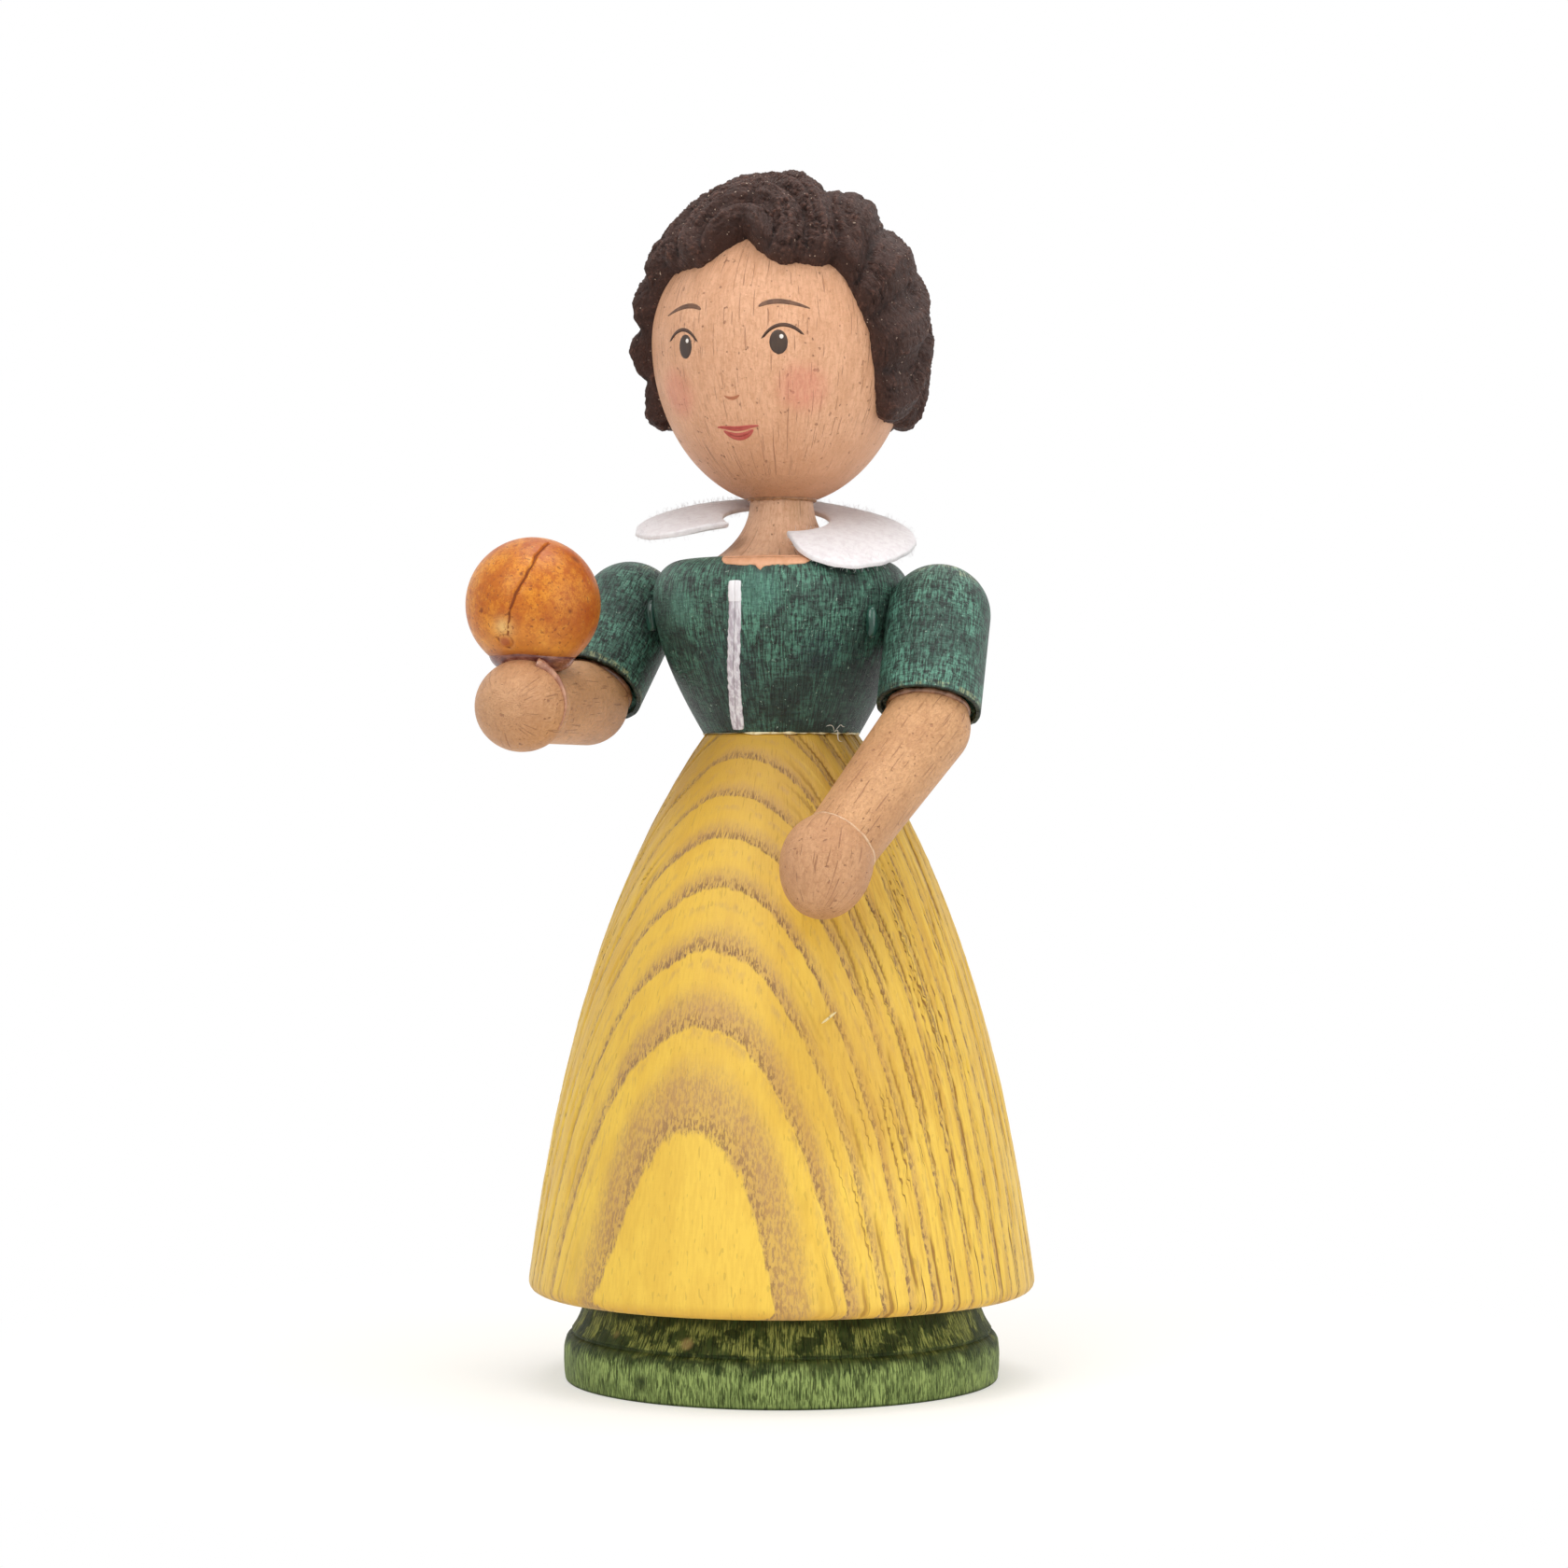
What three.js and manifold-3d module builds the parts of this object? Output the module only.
// A turned wooden figure of a woman in a long skirt who holds out a ball.
// Units are millimetres, +Z is up and the figure faces -Y, so +X is the figure's own left.
// The origin is the centre of the underside of the base.
// Every piece is turned on a lathe and glued, most with a dowel, a tenon or a peg.
import * as THREE from "three";
import { mergeVertices, toCreasedNormals } from "three/addons/utils/BufferGeometryUtils.js";
import Module from "manifold-3d";

const wasm = await Module();
wasm.setup();

// Fits
const SEAT_GAP = 0.3; // between faces that are glued at an angle
const BORE_GAP = 0.1; // round a dowel, tenon or peg
const END_GAP = 0.4; // at the bottom of a blind bore

// Base
const BASE_RADIUS = 17.25;
const BASE_EDGE = 0.35; // eased edge at the underside
const BASE_BAND_HEIGHT = 2.2; // the upright band
const BASE_SHOULDER = { inward: 0.6, upward: 1.55 }; // the rounding over the band
const BASE_GROOVE = { depth: 0.15, width: 0.22 }; // scribed over the shoulder
const BASE_SWEEP = { inward: 0.9, upward: 1.3 }; // handle of the hollow curve from there up to the top
const BASE_TOP_RADIUS = 15.4;
const BASE_HEIGHT = 7.1;

// Skirt
const SKIRT_HEM_RADIUS = 20;
const SKIRT_HEM_EDGE = { inward: 0.5, upward: 1 };
const SKIRT_HEM_HANDLE = { inward: 1.82, upward: 13 };
const SKIRT_WAIST_RADIUS = 6;
const SKIRT_WAIST_HANDLE = { outward: 9.1, downward: 13 };
const SKIRT_HEIGHT = 43.9;

// Bodice
const BODICE_WAIST_RADIUS = 6.2;
const BODICE_WAIST_HANDLE = { outward: 2.1, upward: 3.6 };
const BODICE_CHEST_RADIUS = 10.2;
const BODICE_CHEST_HEIGHT = 10.9;
const BODICE_CHEST_HANDLE = 3.4;
const BODICE_SHOULDER_INSET = 2.4; // from the chest to the flat top
const BODICE_SHOULDER_RISE = 2.8;

// Neck
const NECK_RADIUS = 2.5;
const NECK_FOOT_RADIUS = 5.6;
const NECK_FOOT_HANDLE = { inward: 1.6, upward: 1 };
const NECK_HEIGHT = 4.9;

// Head
const HEAD_RADIUS = 10.3;
const HEAD_CROWN = 9.7; // from the widest level up to the crown
const HEAD_CHIN = 13; // from the widest level down to the chin, before its flat
const HEAD_SEAT_MARGIN = 0.4; // the flat under the chin is this much wider than the neck

// Hair, measured as angles about the middle of the head
const HAIR_THICKNESS = 1; // at the sides
const HAIR_CROWN_THICKNESS = 3;
const HAIR_EDGE_THICKNESS = 0.7;
const HAIR_WAVE = 0.4; // height of the waves, either way
const HAIR_WAVES = 15; // how fast they follow each other round the knot, in radians a radian
const HAIR_SWEEP = 0.8; // how far a wave moves away from the knot as it turns round it
const HAIR_SWAY = 0.12; // how far it sways
const HAIR_SWAYS = 5.5; // and how often
const HAIR_CALM = 0.85; // radians from the knot over which the waves grow
const HAIR_EDGE_START = 0.86; // share of the way to the hairline at which the hair thins
const HAIR_PARTING_DEPTH = 0.9;
const HAIR_PARTING_WIDTH = 5; // degrees
const HAIRLINE_PARTING = 44; // degrees down from the crown
const HAIRLINE_FRINGE = 60;
const HAIRLINE_NAPE = 126;
const HAIRLINE_TEMPLE_FRONT = 48; // degrees round from the nose, where the hairline starts down
const HAIRLINE_TEMPLE_BACK = 82; // and where it reaches the level of the nape

// Coiled knot of hair low on the back of the head
const KNOT_RADIUS = 5;
const KNOT_DEPTH = 3.8; // how far it stands out from the hair
const KNOT_LEVEL = 102; // degrees down from the crown
const KNOT_TURNS = 2;
const KNOT_GROOVE = 0.4;

// Felt collar
const COLLAR_THICKNESS = 0.6;
const COLLAR_HOLE_RADIUS = 4.2;
const COLLAR_WIDTH = 6.9;
const COLLAR_FRONT_GAP = 74; // degrees left open in front
const COLLAR_CORNER = 28; // degrees over which each front corner is rounded
const COLLAR_CORNER_WIDTH = 0.35; // share of the width that is left at each front end
const COLLAR_DROOP = 1.3; // fall of the outer edge
const COLLAR_LEAN = 15; // degrees down towards the front
const COLLAR_ROLL = 9; // degrees down towards the figure's left

// Arms
const ELBOW_RADIUS = 3.4;
const WRIST_RADIUS = 2.95;
const FOREARM_REACH = 15; // elbow centre to hand centre
const ELBOW_STANDOFF = 1.5; // elbow centre beyond the sleeve's rim
const SLEEVE_WALL = 0.35;
const SLEEVE_LENGTH = 8.2; // dome centre to rim
const SLEEVE_FLAT = 0.85; // depth of the sanded flat where the sleeve meets the bodice
const SHOULDER_SEAT = 9.9; // from the figure's axis to the flat on the bodice
const DRILL_POINT = 59; // degrees, half the angle of a drill's tip
const HAND_RADIUS = 3.52;
const HAND_BACK = 3.75; // hand centre to its blunt end
const HAND_TIP = 4.4; // hand centre to its narrow end
// How each arm hangs: side is +1 for the figure's left, level is the shoulder's height over the waist,
// forward is degrees up from hanging straight down and outward is degrees away from the body.
const ARM_POSES = {
  left: {
    side: 1,
    level: 9.1,
    sleeve: { forward: 26, outward: 9 },
    forearm: { forward: 47, outward: -21 },
    hand: { forward: 22, outward: -10 },
  },
  right: {
    side: -1,
    level: 9.9,
    sleeve: { forward: 40, outward: 8 },
    forearm: { forward: 88, outward: -8.4 },
    hand: { forward: 84, outward: -7 },
  },
};

// Ball
const BALL_RADIUS = 5.15;
const BALL_SETBACK = 2.6; // from over the hand's centre back towards the elbow
const BALL_DISH = 0.6; // how far the ball sinks into the dish in the hand

// Dowels and pegs
const BASE_DOWEL = { radius: 3, below: 4.2, above: 8 };
const WAIST_DOWEL = { radius: 2, below: 6, above: 6 };
const NECK_TENON = { radius: 1.9, depth: 4 };
const HEAD_TENON = { radius: 1.6, depth: 4 };
const SHOULDER_PEG = { radius: 1, inBodice: 2.6, inSleeve: 2.4 };
const WRIST_PEG = { radius: 0.6, inForearm: 2.2, inHand: 2.2 };
const PEG_EDGE = 0.25; // chamfer on the ends of each dowel and peg

// Facets
const WIDE_SIDES = 44;
const BODY_SIDES = 36;
const LIMB_SIDES = 22;
const PEG_SIDES = 12;
const CURVE_STEPS = 12;

const radians = THREE.MathUtils.degToRad;

// Levels on the figure's axis
const waistLevel = BASE_HEIGHT + SKIRT_HEIGHT;
const bodiceHeight = BODICE_CHEST_HEIGHT + BODICE_SHOULDER_RISE;
const collarboneLevel = waistLevel + bodiceHeight;
const chinLevel = collarboneLevel + NECK_HEIGHT;
const headSeatRadius = NECK_RADIUS + HEAD_SEAT_MARGIN;
const headCentre = chinLevel + HEAD_CHIN * Math.sqrt(1 - (headSeatRadius / HEAD_RADIUS) ** 2);

// Sleeve sizes that follow the elbow
const cupRadius = ELBOW_RADIUS + SEAT_GAP;
const sleeveRadius = cupRadius + SLEEVE_WALL;
const shoulderReach = SHOULDER_SEAT + SEAT_GAP + sleeveRadius - SLEEVE_FLAT;

// Turns a geometry into a solid, with its faces outwards.
function solidOf(geometry) {
  const bare = geometry.index ? geometry.toNonIndexed() : geometry.clone();
  bare.deleteAttribute("normal");
  bare.deleteAttribute("uv");
  const merged = mergeVertices(bare, 1e-4);
  const corners = [];
  for (let i = 0; i < merged.index.count; i += 3) {
    const [a, b, c] = [0, 1, 2].map((k) => merged.index.getX(i + k));
    if (a !== b && b !== c && c !== a) corners.push(a, b, c);
  }
  const vertProperties = new Float32Array(merged.attributes.position.array);
  const build = (order) =>
    new wasm.Manifold(new wasm.Mesh({ numProp: 3, vertProperties, triVerts: new Uint32Array(order) }));
  const made = build(corners);
  return made.volume() > 0 ? made : build(corners.reverse());
}

// Turns a solid into a geometry that shades smoothly except at its sharp edges.
function geometryOf(solid) {
  const mesh = solid.getMesh();
  const geometry = new THREE.BufferGeometry();
  geometry.setAttribute("position", new THREE.BufferAttribute(new Float32Array(mesh.vertProperties), 3));
  geometry.setIndex(new THREE.BufferAttribute(new Uint32Array(mesh.triVerts), 1));
  return toCreasedNormals(geometry, radians(32));
}

// Revolves a profile, drawn as radius and height, about +Z.
function turned(profile, sides, steps = CURVE_STEPS) {
  const lathe = new THREE.LatheGeometry(profile.getPoints(steps), sides);
  return solidOf(lathe.rotateX(Math.PI / 2));
}

// A dowel, tenon or bore along +Z, with eased ends where edge is set.
function rod(radius, from, to, edge = 0, sides = PEG_SIDES) {
  const profile = new THREE.Path();
  profile.moveTo(0, from);
  profile.lineTo(radius - edge, from);
  if (edge) profile.lineTo(radius, from + edge);
  profile.lineTo(radius, to - edge);
  if (edge) profile.lineTo(radius - edge, to);
  profile.lineTo(0, to);
  return turned(profile, sides);
}

// A closed shell between two surfaces over the same grid; wraps joins its first column to its last.
function shell({ columns, rows, lowerRows = rows, upper, lower, wraps }) {
  const count = wraps ? columns : columns + 1;
  const points = [];
  const addPoints = (surface, steps) => {
    for (let i = 0; i < count; i++)
      for (let j = 0; j <= steps; j++) points.push(...surface(i / columns, j / steps).toArray());
  };
  addPoints(upper, rows);
  addPoints(lower, lowerRows);
  const at = (layer, i, j) => layer * count * (rows + 1) + (i % count) * ((layer ? lowerRows : rows) + 1) + j;
  const corners = [];
  const quad = (a, b, c, d) => corners.push(a, b, c, a, c, d);
  for (let i = 0; i < columns; i++) {
    for (let j = 0; j < rows; j++) quad(at(0, i, j), at(0, i + 1, j), at(0, i + 1, j + 1), at(0, i, j + 1));
    for (let j = 0; j < lowerRows; j++) quad(at(1, i, j), at(1, i, j + 1), at(1, i + 1, j + 1), at(1, i + 1, j));
    quad(at(0, i, 0), at(1, i, 0), at(1, i + 1, 0), at(0, i + 1, 0));
    quad(at(0, i, rows), at(0, i + 1, rows), at(1, i + 1, lowerRows), at(1, i, lowerRows));
  }
  if (!wraps)
    for (let j = 0; j < rows; j++) {
      quad(at(0, 0, j), at(0, 0, j + 1), at(1, 0, j + 1), at(1, 0, j));
      quad(at(0, columns, j), at(1, columns, j), at(1, columns, j + 1), at(0, columns, j + 1));
    }
  const geometry = new THREE.BufferGeometry();
  geometry.setAttribute("position", new THREE.Float32BufferAttribute(points, 3));
  geometry.setIndex(corners);
  return solidOf(geometry);
}

// Woods, paints and felt
const wood = (color, roughness) => new THREE.MeshStandardMaterial({ color, roughness, metalness: 0 });
const MATERIALS = {
  greenStain: wood("#56702f", 0.6),
  yellowStain: wood("#e8bd3a", 0.62),
  pineStain: wood("#2c5a48", 0.6),
  skinPaint: wood("#dfa377", 0.55),
  hairPaste: wood("#4a2a1a", 0.9),
  feltWhite: wood("#efe9ea", 0.95),
  ballStain: wood("#c9762c", 0.3),
  beech: wood("#cfa878", 0.7),
};

// The pieces, each a solid in its own frame with the matrix that places it
const pieces = new Map();

function addPiece(name, solid, material, matrix = new THREE.Matrix4()) {
  pieces.set(name, { solid, material, matrix });
}

// Cuts a solid, placed by its own matrix, out of a piece.
function cut(name, cutter, cutterMatrix) {
  const piece = pieces.get(name);
  const into = piece.matrix.clone().invert().multiply(cutterMatrix);
  piece.solid = piece.solid.subtract(cutter.transform(into.elements));
}

const lift = (height) => new THREE.Matrix4().makeTranslation(0, 0, height);

// Moulded base with a blind bore for its dowel
function makeBase() {
  const profile = new THREE.Path();
  const neckRadius = BASE_RADIUS - BASE_SHOULDER.inward;
  const grooveFoot = BASE_BAND_HEIGHT + BASE_SHOULDER.upward;
  const grooveTop = grooveFoot + BASE_GROOVE.width;
  const sweep = [neckRadius - BASE_SWEEP.inward, grooveTop + BASE_SWEEP.upward];
  profile.moveTo(0, 0);
  profile.lineTo(BASE_RADIUS - BASE_EDGE, 0);
  profile.lineTo(BASE_RADIUS, BASE_EDGE);
  profile.lineTo(BASE_RADIUS, BASE_BAND_HEIGHT);
  profile.quadraticCurveTo(BASE_RADIUS, grooveFoot - BASE_SHOULDER.inward / 2, neckRadius, grooveFoot);
  profile.lineTo(neckRadius - BASE_GROOVE.depth, (grooveFoot + grooveTop) / 2);
  profile.lineTo(neckRadius, grooveTop);
  profile.quadraticCurveTo(...sweep, BASE_TOP_RADIUS, BASE_HEIGHT);
  profile.lineTo(0, BASE_HEIGHT);
  addPiece("base", turned(profile, WIDE_SIDES, 4), MATERIALS.greenStain);
  cut("base", rod(BASE_DOWEL.radius + BORE_GAP, -BASE_DOWEL.below - END_GAP, END_GAP), lift(BASE_HEIGHT));
  addPiece(
    "base_dowel",
    rod(BASE_DOWEL.radius, -BASE_DOWEL.below, BASE_DOWEL.above, PEG_EDGE),
    MATERIALS.beech,
    lift(BASE_HEIGHT),
  );
}

// Bell-shaped skirt, bored at the foot and at the waist
function makeSkirt() {
  const profile = new THREE.Path();
  profile.moveTo(0, 0);
  profile.lineTo(SKIRT_HEM_RADIUS - SKIRT_HEM_EDGE.inward, 0);
  profile.lineTo(SKIRT_HEM_RADIUS, SKIRT_HEM_EDGE.upward);
  profile.bezierCurveTo(
    SKIRT_HEM_RADIUS - SKIRT_HEM_HANDLE.inward,
    SKIRT_HEM_EDGE.upward + SKIRT_HEM_HANDLE.upward,
    SKIRT_WAIST_RADIUS + SKIRT_WAIST_HANDLE.outward,
    SKIRT_HEIGHT - SKIRT_WAIST_HANDLE.downward,
    SKIRT_WAIST_RADIUS,
    SKIRT_HEIGHT,
  );
  profile.lineTo(0, SKIRT_HEIGHT);
  addPiece("skirt", turned(profile, WIDE_SIDES, 12), MATERIALS.yellowStain, lift(BASE_HEIGHT));
  cut("skirt", rod(BASE_DOWEL.radius + BORE_GAP, -END_GAP, BASE_DOWEL.above + END_GAP), lift(BASE_HEIGHT));
  cut("skirt", rod(WAIST_DOWEL.radius + BORE_GAP, -WAIST_DOWEL.below - END_GAP, END_GAP), lift(waistLevel));
  addPiece(
    "waist_dowel",
    rod(WAIST_DOWEL.radius, -WAIST_DOWEL.below, WAIST_DOWEL.above, PEG_EDGE),
    MATERIALS.beech,
    lift(waistLevel),
  );
}

// Cup-shaped bodice with a sanded flat and a peg hole at each shoulder
function makeBodice() {
  const profile = new THREE.Path();
  profile.moveTo(0, 0);
  profile.lineTo(BODICE_WAIST_RADIUS, 0);
  profile.bezierCurveTo(
    BODICE_WAIST_RADIUS + BODICE_WAIST_HANDLE.outward,
    BODICE_WAIST_HANDLE.upward,
    BODICE_CHEST_RADIUS,
    BODICE_CHEST_HEIGHT - BODICE_CHEST_HANDLE,
    BODICE_CHEST_RADIUS,
    BODICE_CHEST_HEIGHT,
  );
  profile.absellipse(
    BODICE_CHEST_RADIUS - BODICE_SHOULDER_INSET,
    BODICE_CHEST_HEIGHT,
    BODICE_SHOULDER_INSET,
    BODICE_SHOULDER_RISE,
    0,
    Math.PI / 2,
    false,
  );
  profile.lineTo(0, bodiceHeight);
  addPiece("bodice", turned(profile, BODY_SIDES, 5), MATERIALS.pineStain, lift(waistLevel));
  const waistBore = rod(WAIST_DOWEL.radius + BORE_GAP, -END_GAP, WAIST_DOWEL.above + END_GAP);
  const neckBore = rod(NECK_TENON.radius + BORE_GAP, -NECK_TENON.depth - END_GAP, END_GAP);
  cut("bodice", waistBore, lift(waistLevel));
  cut("bodice", neckBore, lift(collarboneLevel));
}

// Neck with a flared foot, and a tenon at each end in one piece with it
function makeNeck() {
  const profile = new THREE.Path();
  profile.moveTo(0, -NECK_TENON.depth);
  profile.lineTo(NECK_TENON.radius - PEG_EDGE, -NECK_TENON.depth);
  profile.lineTo(NECK_TENON.radius, PEG_EDGE - NECK_TENON.depth);
  profile.lineTo(NECK_TENON.radius, 0);
  profile.lineTo(NECK_FOOT_RADIUS, 0);
  profile.bezierCurveTo(
    NECK_FOOT_RADIUS - NECK_FOOT_HANDLE.inward,
    NECK_FOOT_HANDLE.upward,
    NECK_RADIUS,
    NECK_HEIGHT / 2,
    NECK_RADIUS,
    NECK_HEIGHT,
  );
  profile.lineTo(HEAD_TENON.radius, NECK_HEIGHT);
  profile.lineTo(HEAD_TENON.radius, NECK_HEIGHT + HEAD_TENON.depth - PEG_EDGE);
  profile.lineTo(HEAD_TENON.radius - PEG_EDGE, NECK_HEIGHT + HEAD_TENON.depth);
  profile.lineTo(0, NECK_HEIGHT + HEAD_TENON.depth);
  addPiece("neck", turned(profile, LIMB_SIDES, 8), MATERIALS.skinPaint, lift(collarboneLevel));
}

// Egg-shaped head, flat under the chin where the neck meets it
function makeHead() {
  const chinAngle = Math.acos(headSeatRadius / HEAD_RADIUS);
  const profile = new THREE.Path();
  profile.moveTo(0, chinLevel - headCentre);
  profile.lineTo(headSeatRadius, chinLevel - headCentre);
  profile.absellipse(0, 0, HEAD_RADIUS, HEAD_CHIN, -chinAngle, 0, false);
  profile.absellipse(0, 0, HEAD_RADIUS, HEAD_CROWN, 0, Math.PI / 2, false);
  addPiece("head", turned(profile, BODY_SIDES, 5), MATERIALS.skinPaint, lift(headCentre));
  cut("head", rod(HEAD_TENON.radius + BORE_GAP, -END_GAP, HEAD_TENON.depth + END_GAP), lift(chinLevel));
}

// From the middle of the head to its surface, at an angle down from the crown
function headReach(polar) {
  const vertical = polar < Math.PI / 2 ? HEAD_CROWN : HEAD_CHIN;
  return 1 / Math.hypot(Math.sin(polar) / HEAD_RADIUS, Math.cos(polar) / vertical);
}

// The head's own shape with a layer of some depth over it
function headMass(depth) {
  const profile = new THREE.Path();
  const steps = 24;
  profile.moveTo(0, -headReach(Math.PI) - depth(Math.PI));
  for (let i = 1; i <= steps; i++) {
    const polar = Math.PI * (1 - i / steps);
    const reach = headReach(polar) + depth(polar);
    profile.lineTo(i < steps ? reach * Math.sin(polar) : 0, reach * Math.cos(polar));
  }
  return turned(profile, BODY_SIDES);
}

// A point by its angle down from the crown and its angle round from the nose
function aroundHead(polar, azimuth, reach) {
  const level = reach * Math.sin(polar);
  return new THREE.Vector3(level * Math.sin(azimuth), -level * Math.cos(azimuth), reach * Math.cos(polar));
}

// Where the hair ends, down from the crown, at an angle round from the nose
function hairline(azimuth) {
  const round = Math.abs(THREE.MathUtils.radToDeg(Math.atan2(Math.sin(azimuth), Math.cos(azimuth))));
  const fringe = THREE.MathUtils.smoothstep(round, 0, HAIRLINE_TEMPLE_FRONT / 2);
  const temple = THREE.MathUtils.smoothstep(round, HAIRLINE_TEMPLE_FRONT, HAIRLINE_TEMPLE_BACK);
  const front = THREE.MathUtils.lerp(HAIRLINE_PARTING, HAIRLINE_FRINGE, fringe);
  return radians(THREE.MathUtils.lerp(front, HAIRLINE_NAPE, temple));
}

// How thick the hair is, at an angle down from the crown
function hairDepth(polar) {
  return THREE.MathUtils.lerp(HAIR_THICKNESS, HAIR_CROWN_THICKNESS, Math.max(Math.cos(polar), 0) ** 2);
}

// How high the combed waves stand, which leave the parting and sweep back round the knot
function hairWave(azimuth, polar) {
  const way = aroundHead(polar, azimuth, 1);
  const knot = aroundHead(radians(KNOT_LEVEL), Math.PI, 1);
  const above = new THREE.Vector3(1, 0, 0).cross(knot);
  const away = way.angleTo(knot);
  const round = Math.abs(Math.atan2(way.x, -way.dot(above)));
  const swing = away + HAIR_SWEEP * round + HAIR_SWAY * Math.sin(HAIR_SWAYS * away);
  return HAIR_WAVE * Math.cos(HAIR_WAVES * swing) * Math.min(away / HAIR_CALM, 1);
}

// Hair of moulded paste, parted in the middle and drawn back in waves over the ears
function makeHairCap() {
  const surface = (depth) => (u, v) => {
    const azimuth = u * 2 * Math.PI;
    const polar = Math.max(v * hairline(azimuth), 1e-6);
    return aroundHead(polar, azimuth, headReach(polar) + SEAT_GAP + depth(azimuth, polar, v));
  };
  const outer = surface((azimuth, polar, v) => {
    const aside = Math.atan2(Math.sin(azimuth), Math.cos(azimuth)) * Math.sin(polar);
    const ahead = THREE.MathUtils.smoothstep(Math.cos(azimuth), 0, 0.5);
    const groove = Math.exp(-((aside / radians(HAIR_PARTING_WIDTH)) ** 2));
    const parting = HAIR_PARTING_DEPTH * ahead * groove * Math.sin(polar);
    const edge = THREE.MathUtils.smoothstep(v, HAIR_EDGE_START, 1);
    const depth = hairDepth(polar) + hairWave(azimuth, polar) - parting;
    return THREE.MathUtils.lerp(depth, HAIR_EDGE_THICKNESS, edge);
  });
  const inner = surface(() => 0);
  const cap = shell({ columns: 56, rows: 22, lowerRows: 7, upper: outer, lower: inner, wraps: true });
  addPiece("hair_cap", cap, MATERIALS.hairPaste, lift(headCentre));
}

// Knot of hair, a dome with a groove that winds in to its middle, hollowed where it sits on the cap
function makeKnot() {
  const level = radians(KNOT_LEVEL);
  const seat = headReach(level) + HAIR_THICKNESS;
  const rings = 12;
  const sides = 32;
  const point = (i, k) => {
    const inward = i / rings;
    const turn = (k / sides) * 2 * Math.PI;
    const winding = Math.cos(2 * Math.PI * inward * KNOT_TURNS - turn) - 1;
    const out = inward * Math.PI / 2;
    const high = KNOT_DEPTH * Math.sin(out) + KNOT_GROOVE * winding * Math.sin(out);
    const wide = KNOT_RADIUS * Math.cos(out) + KNOT_GROOVE * winding * Math.cos(out);
    return [wide * Math.cos(turn), wide * Math.sin(turn), high];
  };
  const points = [0, 0, -KNOT_DEPTH / 2];
  const corners = [];
  for (let i = 0; i <= rings; i++)
    for (let k = 0; k < sides; k++) {
      const [x, y, z] = point(Math.min(i, rings - 0.02), k);
      points.push(x, y, z);
    }
  const at = (i, k) => 1 + i * sides + (k % sides);
  const tip = points.length / 3;
  points.push(0, 0, KNOT_DEPTH - KNOT_GROOVE);
  for (let k = 0; k < sides; k++) {
    corners.push(0, at(0, k + 1), at(0, k));
    for (let i = 0; i < rings; i++) {
      corners.push(at(i, k), at(i, k + 1), at(i + 1, k + 1), at(i, k), at(i + 1, k + 1), at(i + 1, k));
    }
    corners.push(at(rings, k), at(rings, k + 1), tip);
  }
  const geometry = new THREE.BufferGeometry();
  geometry.setAttribute("position", new THREE.Float32BufferAttribute(points, 3));
  geometry.setIndex(corners);
  const way = aroundHead(level, Math.PI, 1);
  const place = lift(headCentre).multiply(aim(way.clone().multiplyScalar(seat), way));
  addPiece("hair_knot", solidOf(geometry), MATERIALS.hairPaste, place);
  const waveAtEdge = HAIR_WAVE * Math.min(KNOT_RADIUS / (HEAD_RADIUS * HAIR_CALM), 1);
  const underKnot = headMass((polar) => SEAT_GAP + hairDepth(polar) + waveAtEdge + SEAT_GAP);
  cut("hair_knot", underKnot, lift(headCentre));
}

// Height of the bodice over the waist, under a point this far from the axis
function bodiceTop(radius) {
  const past = (radius - BODICE_CHEST_RADIUS) / BODICE_SHOULDER_INSET + 1;
  return BODICE_CHEST_HEIGHT + BODICE_SHOULDER_RISE * Math.sqrt(1 - THREE.MathUtils.clamp(past, 0, 1) ** 2);
}

// Felt collar, a ring open in front with rounded corners. It leans forward and rests on the
// bodice's edge, with the back of its hole against the neck.
function makeCollar() {
  const start = COLLAR_FRONT_GAP / 2;
  const sweep = 360 - COLLAR_FRONT_GAP;
  const face = (height) => (u, v) => {
    const azimuth = radians(start + u * sweep);
    const rounding = Math.min((Math.min(u, 1 - u) * sweep) / COLLAR_CORNER, 1);
    const share = THREE.MathUtils.lerp(COLLAR_CORNER_WIDTH, 1, Math.sqrt(1 - (1 - rounding) ** 2));
    const width = COLLAR_WIDTH * share;
    const radius = COLLAR_HOLE_RADIUS + width * v;
    const fall = COLLAR_DROOP * ((width * v) / COLLAR_WIDTH) ** 2;
    return new THREE.Vector3(radius * Math.sin(azimuth), -radius * Math.cos(azimuth), height - fall);
  };
  const columns = 44;
  const rows = 4;
  const felt = shell({ columns, rows, upper: face(COLLAR_THICKNESS), lower: face(0), wraps: false });
  const forward = COLLAR_HOLE_RADIUS - NECK_RADIUS - 2 * SEAT_GAP;
  const leaned = new THREE.Matrix4()
    .makeTranslation(0, -forward, 0)
    .multiply(new THREE.Matrix4().makeRotationY(radians(COLLAR_ROLL)))
    .multiply(new THREE.Matrix4().makeRotationX(radians(COLLAR_LEAN)));
  let rest = -Infinity;
  for (let i = 0; i <= columns; i++)
    for (let j = 0; j <= rows; j++) {
      const under = face(0)(i / columns, j / rows).applyMatrix4(leaned);
      const reach = Math.hypot(under.x, under.y);
      if (reach < BODICE_CHEST_RADIUS) rest = Math.max(rest, bodiceTop(reach) - under.z);
    }
  addPiece("collar", felt, MATERIALS.feltWhite, lift(waistLevel + rest + SEAT_GAP).multiply(leaned));
}

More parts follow.
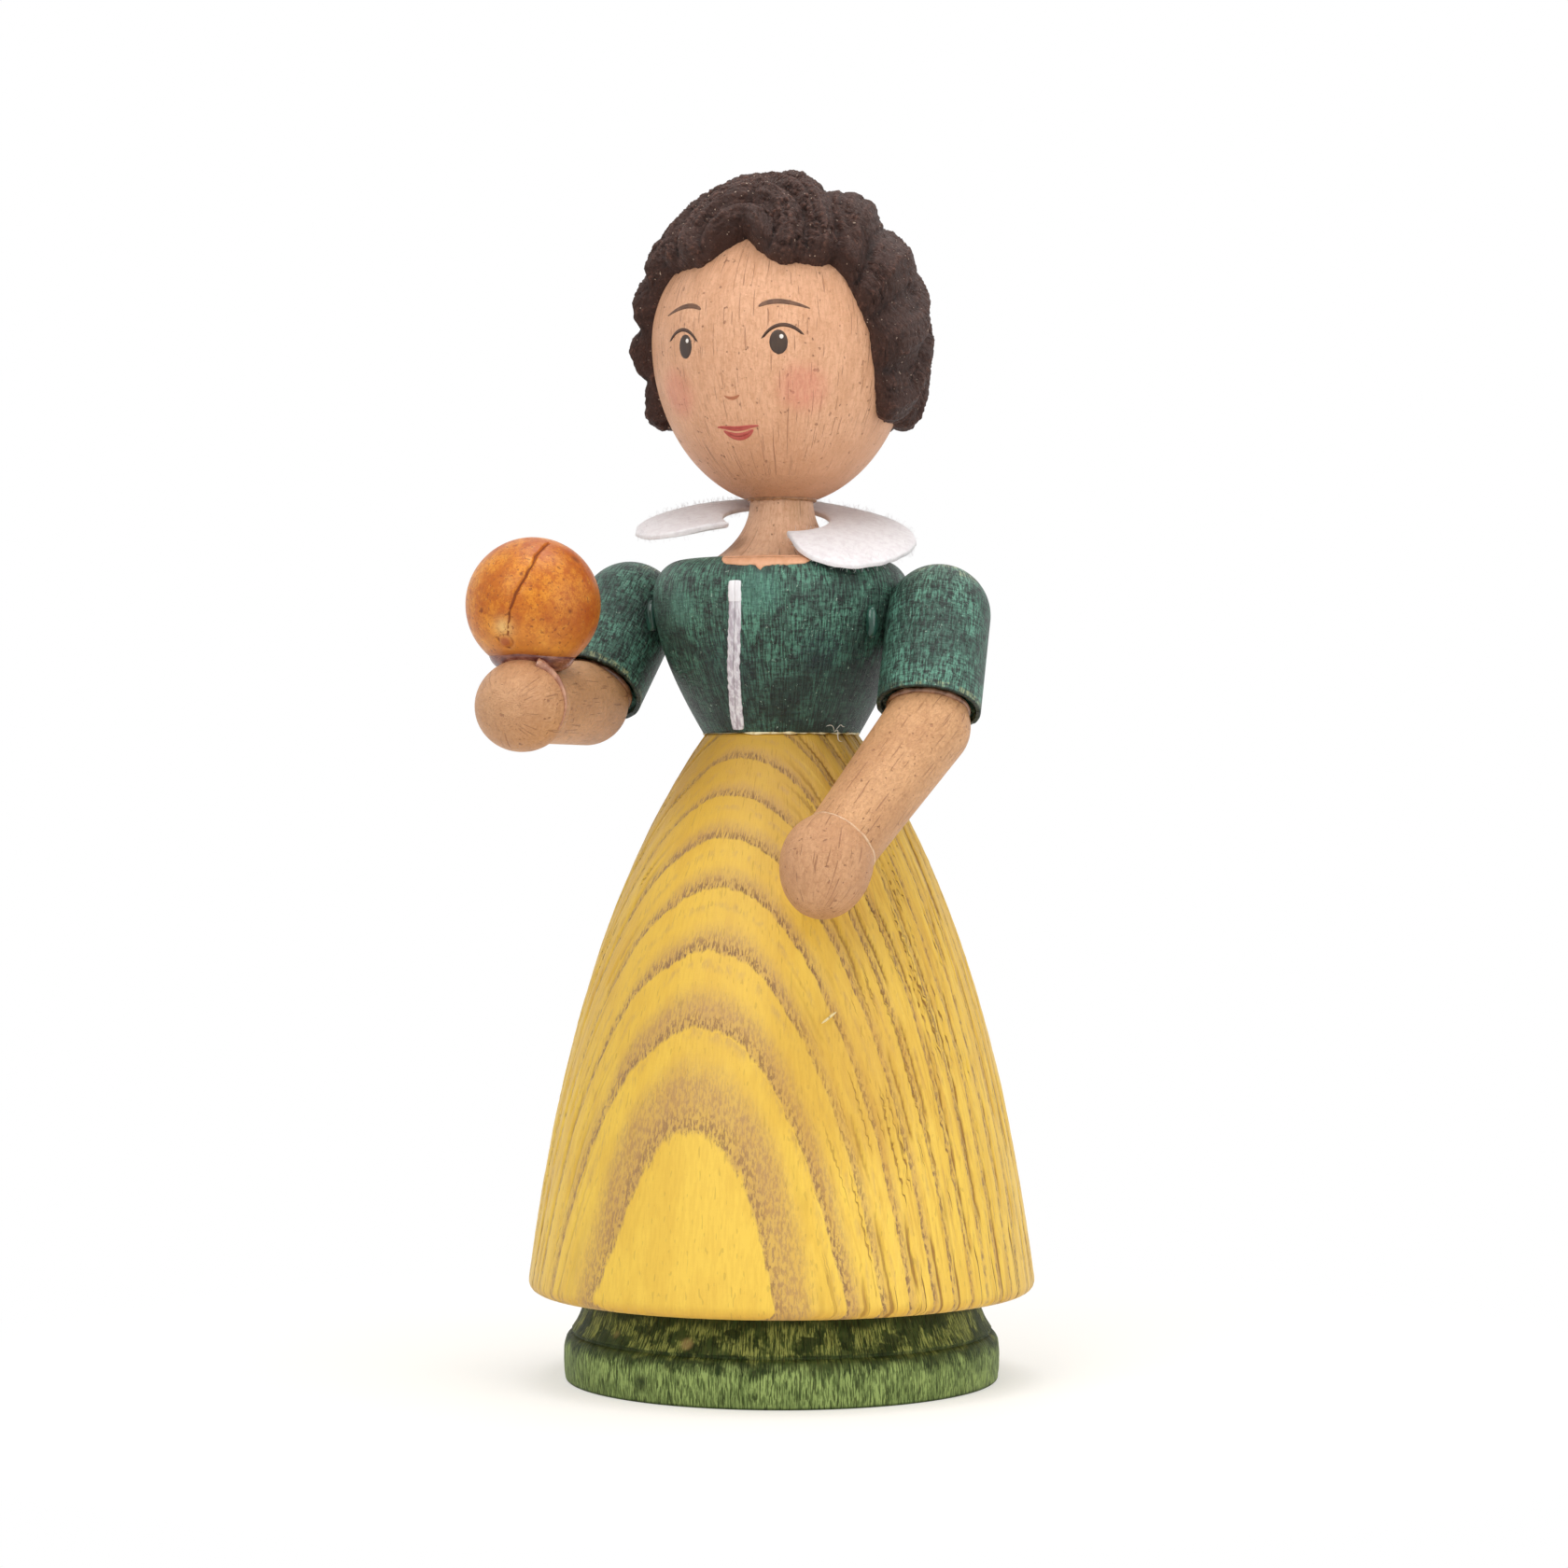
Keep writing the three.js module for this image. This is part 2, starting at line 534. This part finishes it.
// The direction in which a limb points
function limbDirection(side, { forward, outward }) {
  const level = Math.sin(radians(forward));
  const away = radians(outward);
  const down = Math.cos(radians(forward));
  return new THREE.Vector3(side * level * Math.sin(away), -level * Math.cos(away), -down);
}

// The matrix that puts a piece's own +Z along a direction, at a place
function aim(place, direction) {
  const turn = new THREE.Quaternion().setFromUnitVectors(new THREE.Vector3(0, 0, 1), direction);
  return new THREE.Matrix4().compose(place, turn, new THREE.Vector3(1, 1, 1));
}

// Sleeve with a domed shoulder and a drilled cup for the elbow; +Z runs from the dome's centre to the rim
function sleeveSolid() {
  const outside = new THREE.Path();
  outside.absarc(0, 0, sleeveRadius, -Math.PI / 2, 0, false);
  outside.lineTo(sleeveRadius, SLEEVE_LENGTH);
  outside.lineTo(0, SLEEVE_LENGTH);
  const point = cupRadius / Math.sin(radians(DRILL_POINT));
  const cupFloor = SLEEVE_LENGTH + ELBOW_STANDOFF - point;
  const cup = new THREE.Path();
  cup.moveTo(0, cupFloor);
  cup.lineTo(cupRadius, cupFloor + cupRadius / Math.tan(radians(DRILL_POINT)));
  cup.lineTo(cupRadius, SLEEVE_LENGTH + SEAT_GAP);
  cup.lineTo(0, SLEEVE_LENGTH + SEAT_GAP);
  return turned(outside, LIMB_SIDES, 6).subtract(turned(cup, LIMB_SIDES));
}

// Forearm, a stick that tapers from a ball end to the wrist; +Z runs from the elbow to the hand
function forearmSolid() {
  const profile = new THREE.Path();
  profile.absarc(0, 0, ELBOW_RADIUS, -Math.PI / 2, 0, false);
  profile.lineTo(WRIST_RADIUS, FOREARM_REACH - WRIST_RADIUS);
  profile.absarc(0, FOREARM_REACH - WRIST_RADIUS, WRIST_RADIUS, 0, Math.PI / 2, false);
  return turned(profile, LIMB_SIDES, 4);
}

// Hand, an egg with its narrow end along +Z; grow makes the dish that another piece needs
function handSolid(grow = 0) {
  const profile = new THREE.Path();
  profile.absellipse(0, 0, HAND_RADIUS + grow, HAND_BACK + grow, -Math.PI / 2, 0, false);
  profile.absellipse(0, 0, HAND_RADIUS + grow, HAND_TIP + grow, 0, Math.PI / 2, false);
  return turned(profile, LIMB_SIDES, 4);
}

function ballSolid(grow = 0) {
  const profile = new THREE.Path();
  profile.absarc(0, 0, BALL_RADIUS + grow, -Math.PI / 2, Math.PI / 2, false);
  return turned(profile, LIMB_SIDES, 8);
}

// One arm: sleeve, shoulder peg, forearm, wrist peg and hand. It gives the hand's centre and the
// forearm's direction.
function makeArm(name, pose) {
  const { side } = pose;
  const shoulder = new THREE.Vector3(side * shoulderReach, 0, waistLevel + pose.level);
  const sleeveWay = limbDirection(side, pose.sleeve);
  const forearmWay = limbDirection(side, pose.forearm);
  const handWay = limbDirection(side, pose.hand);
  const elbow = shoulder.clone().addScaledVector(sleeveWay, SLEEVE_LENGTH + ELBOW_STANDOFF);
  const hand = elbow.clone().addScaledVector(forearmWay, FOREARM_REACH);
  const inward = new THREE.Vector3(-side, 0, 0);

  addPiece(`sleeve_${name}`, sleeveSolid(), MATERIALS.pineStain, aim(shoulder, sleeveWay));
  const sleeveFlat = shoulder.clone().addScaledVector(inward, sleeveRadius - SLEEVE_FLAT);
  cut(`sleeve_${name}`, rod(2 * sleeveRadius, 0, sleeveRadius, 0, LIMB_SIDES), aim(sleeveFlat, inward));
  const bodiceFlat = sleeveFlat.clone().addScaledVector(inward, SEAT_GAP);
  cut("bodice", rod(2 * sleeveRadius, -sleeveRadius, 0, 0, LIMB_SIDES), aim(bodiceFlat, inward));

  const pegBore = rod(
    SHOULDER_PEG.radius + BORE_GAP,
    -SHOULDER_PEG.inSleeve - END_GAP,
    SHOULDER_PEG.inBodice + END_GAP,
  );
  const peg = rod(SHOULDER_PEG.radius, -SHOULDER_PEG.inSleeve, SHOULDER_PEG.inBodice, PEG_EDGE);
  cut(`sleeve_${name}`, pegBore, aim(bodiceFlat, inward));
  cut("bodice", pegBore, aim(bodiceFlat, inward));
  addPiece(`shoulder_peg_${name}`, peg, MATERIALS.beech, aim(bodiceFlat, inward));

  addPiece(`forearm_${name}`, forearmSolid(), MATERIALS.skinPaint, aim(elbow, forearmWay));
  addPiece(`hand_${name}`, handSolid(), MATERIALS.skinPaint, aim(hand, handWay));
  cut(`forearm_${name}`, handSolid(SEAT_GAP), aim(hand, handWay));

  const wrist = hand.clone().addScaledVector(forearmWay, -HAND_BACK);
  const wristBore = rod(
    WRIST_PEG.radius + BORE_GAP,
    -WRIST_PEG.inForearm - END_GAP,
    WRIST_PEG.inHand + END_GAP,
  );
  const wristPeg = rod(WRIST_PEG.radius, -WRIST_PEG.inForearm, WRIST_PEG.inHand, PEG_EDGE / 2);
  cut(`forearm_${name}`, wristBore, aim(wrist, forearmWay));
  cut(`hand_${name}`, wristBore, aim(wrist, forearmWay));
  addPiece(`wrist_peg_${name}`, wristPeg, MATERIALS.beech, aim(wrist, forearmWay));
  return { hand, forearmWay };
}

// Ball glued into a shallow dish over the hand and the wrist
function makeBall({ hand, forearmWay }) {
  const apart = HAND_RADIUS + BALL_RADIUS - BALL_DISH;
  const rise = Math.sqrt(apart ** 2 - BALL_SETBACK ** 2);
  const over = new THREE.Vector3(0, 0, 1).addScaledVector(forearmWay, -forearmWay.z).normalize();
  const centre = hand.clone().addScaledVector(forearmWay, -BALL_SETBACK).addScaledVector(over, rise);
  const place = new THREE.Matrix4().setPosition(centre);
  addPiece("ball", ballSolid(), MATERIALS.ballStain, place);
  cut("hand_right", ballSolid(SEAT_GAP), place);
  cut("forearm_right", ballSolid(SEAT_GAP), place);
}

makeBase();
makeSkirt();
makeBodice();
makeNeck();
makeHead();
makeHairCap();
makeKnot();
makeCollar();
makeArm("left", ARM_POSES.left);
makeBall(makeArm("right", ARM_POSES.right));

const figure = new THREE.Group();
for (const [name, piece] of pieces) {
  const mesh = new THREE.Mesh(geometryOf(piece.solid), piece.material);
  mesh.name = name;
  mesh.applyMatrix4(piece.matrix);
  figure.add(mesh);
}

export default figure;
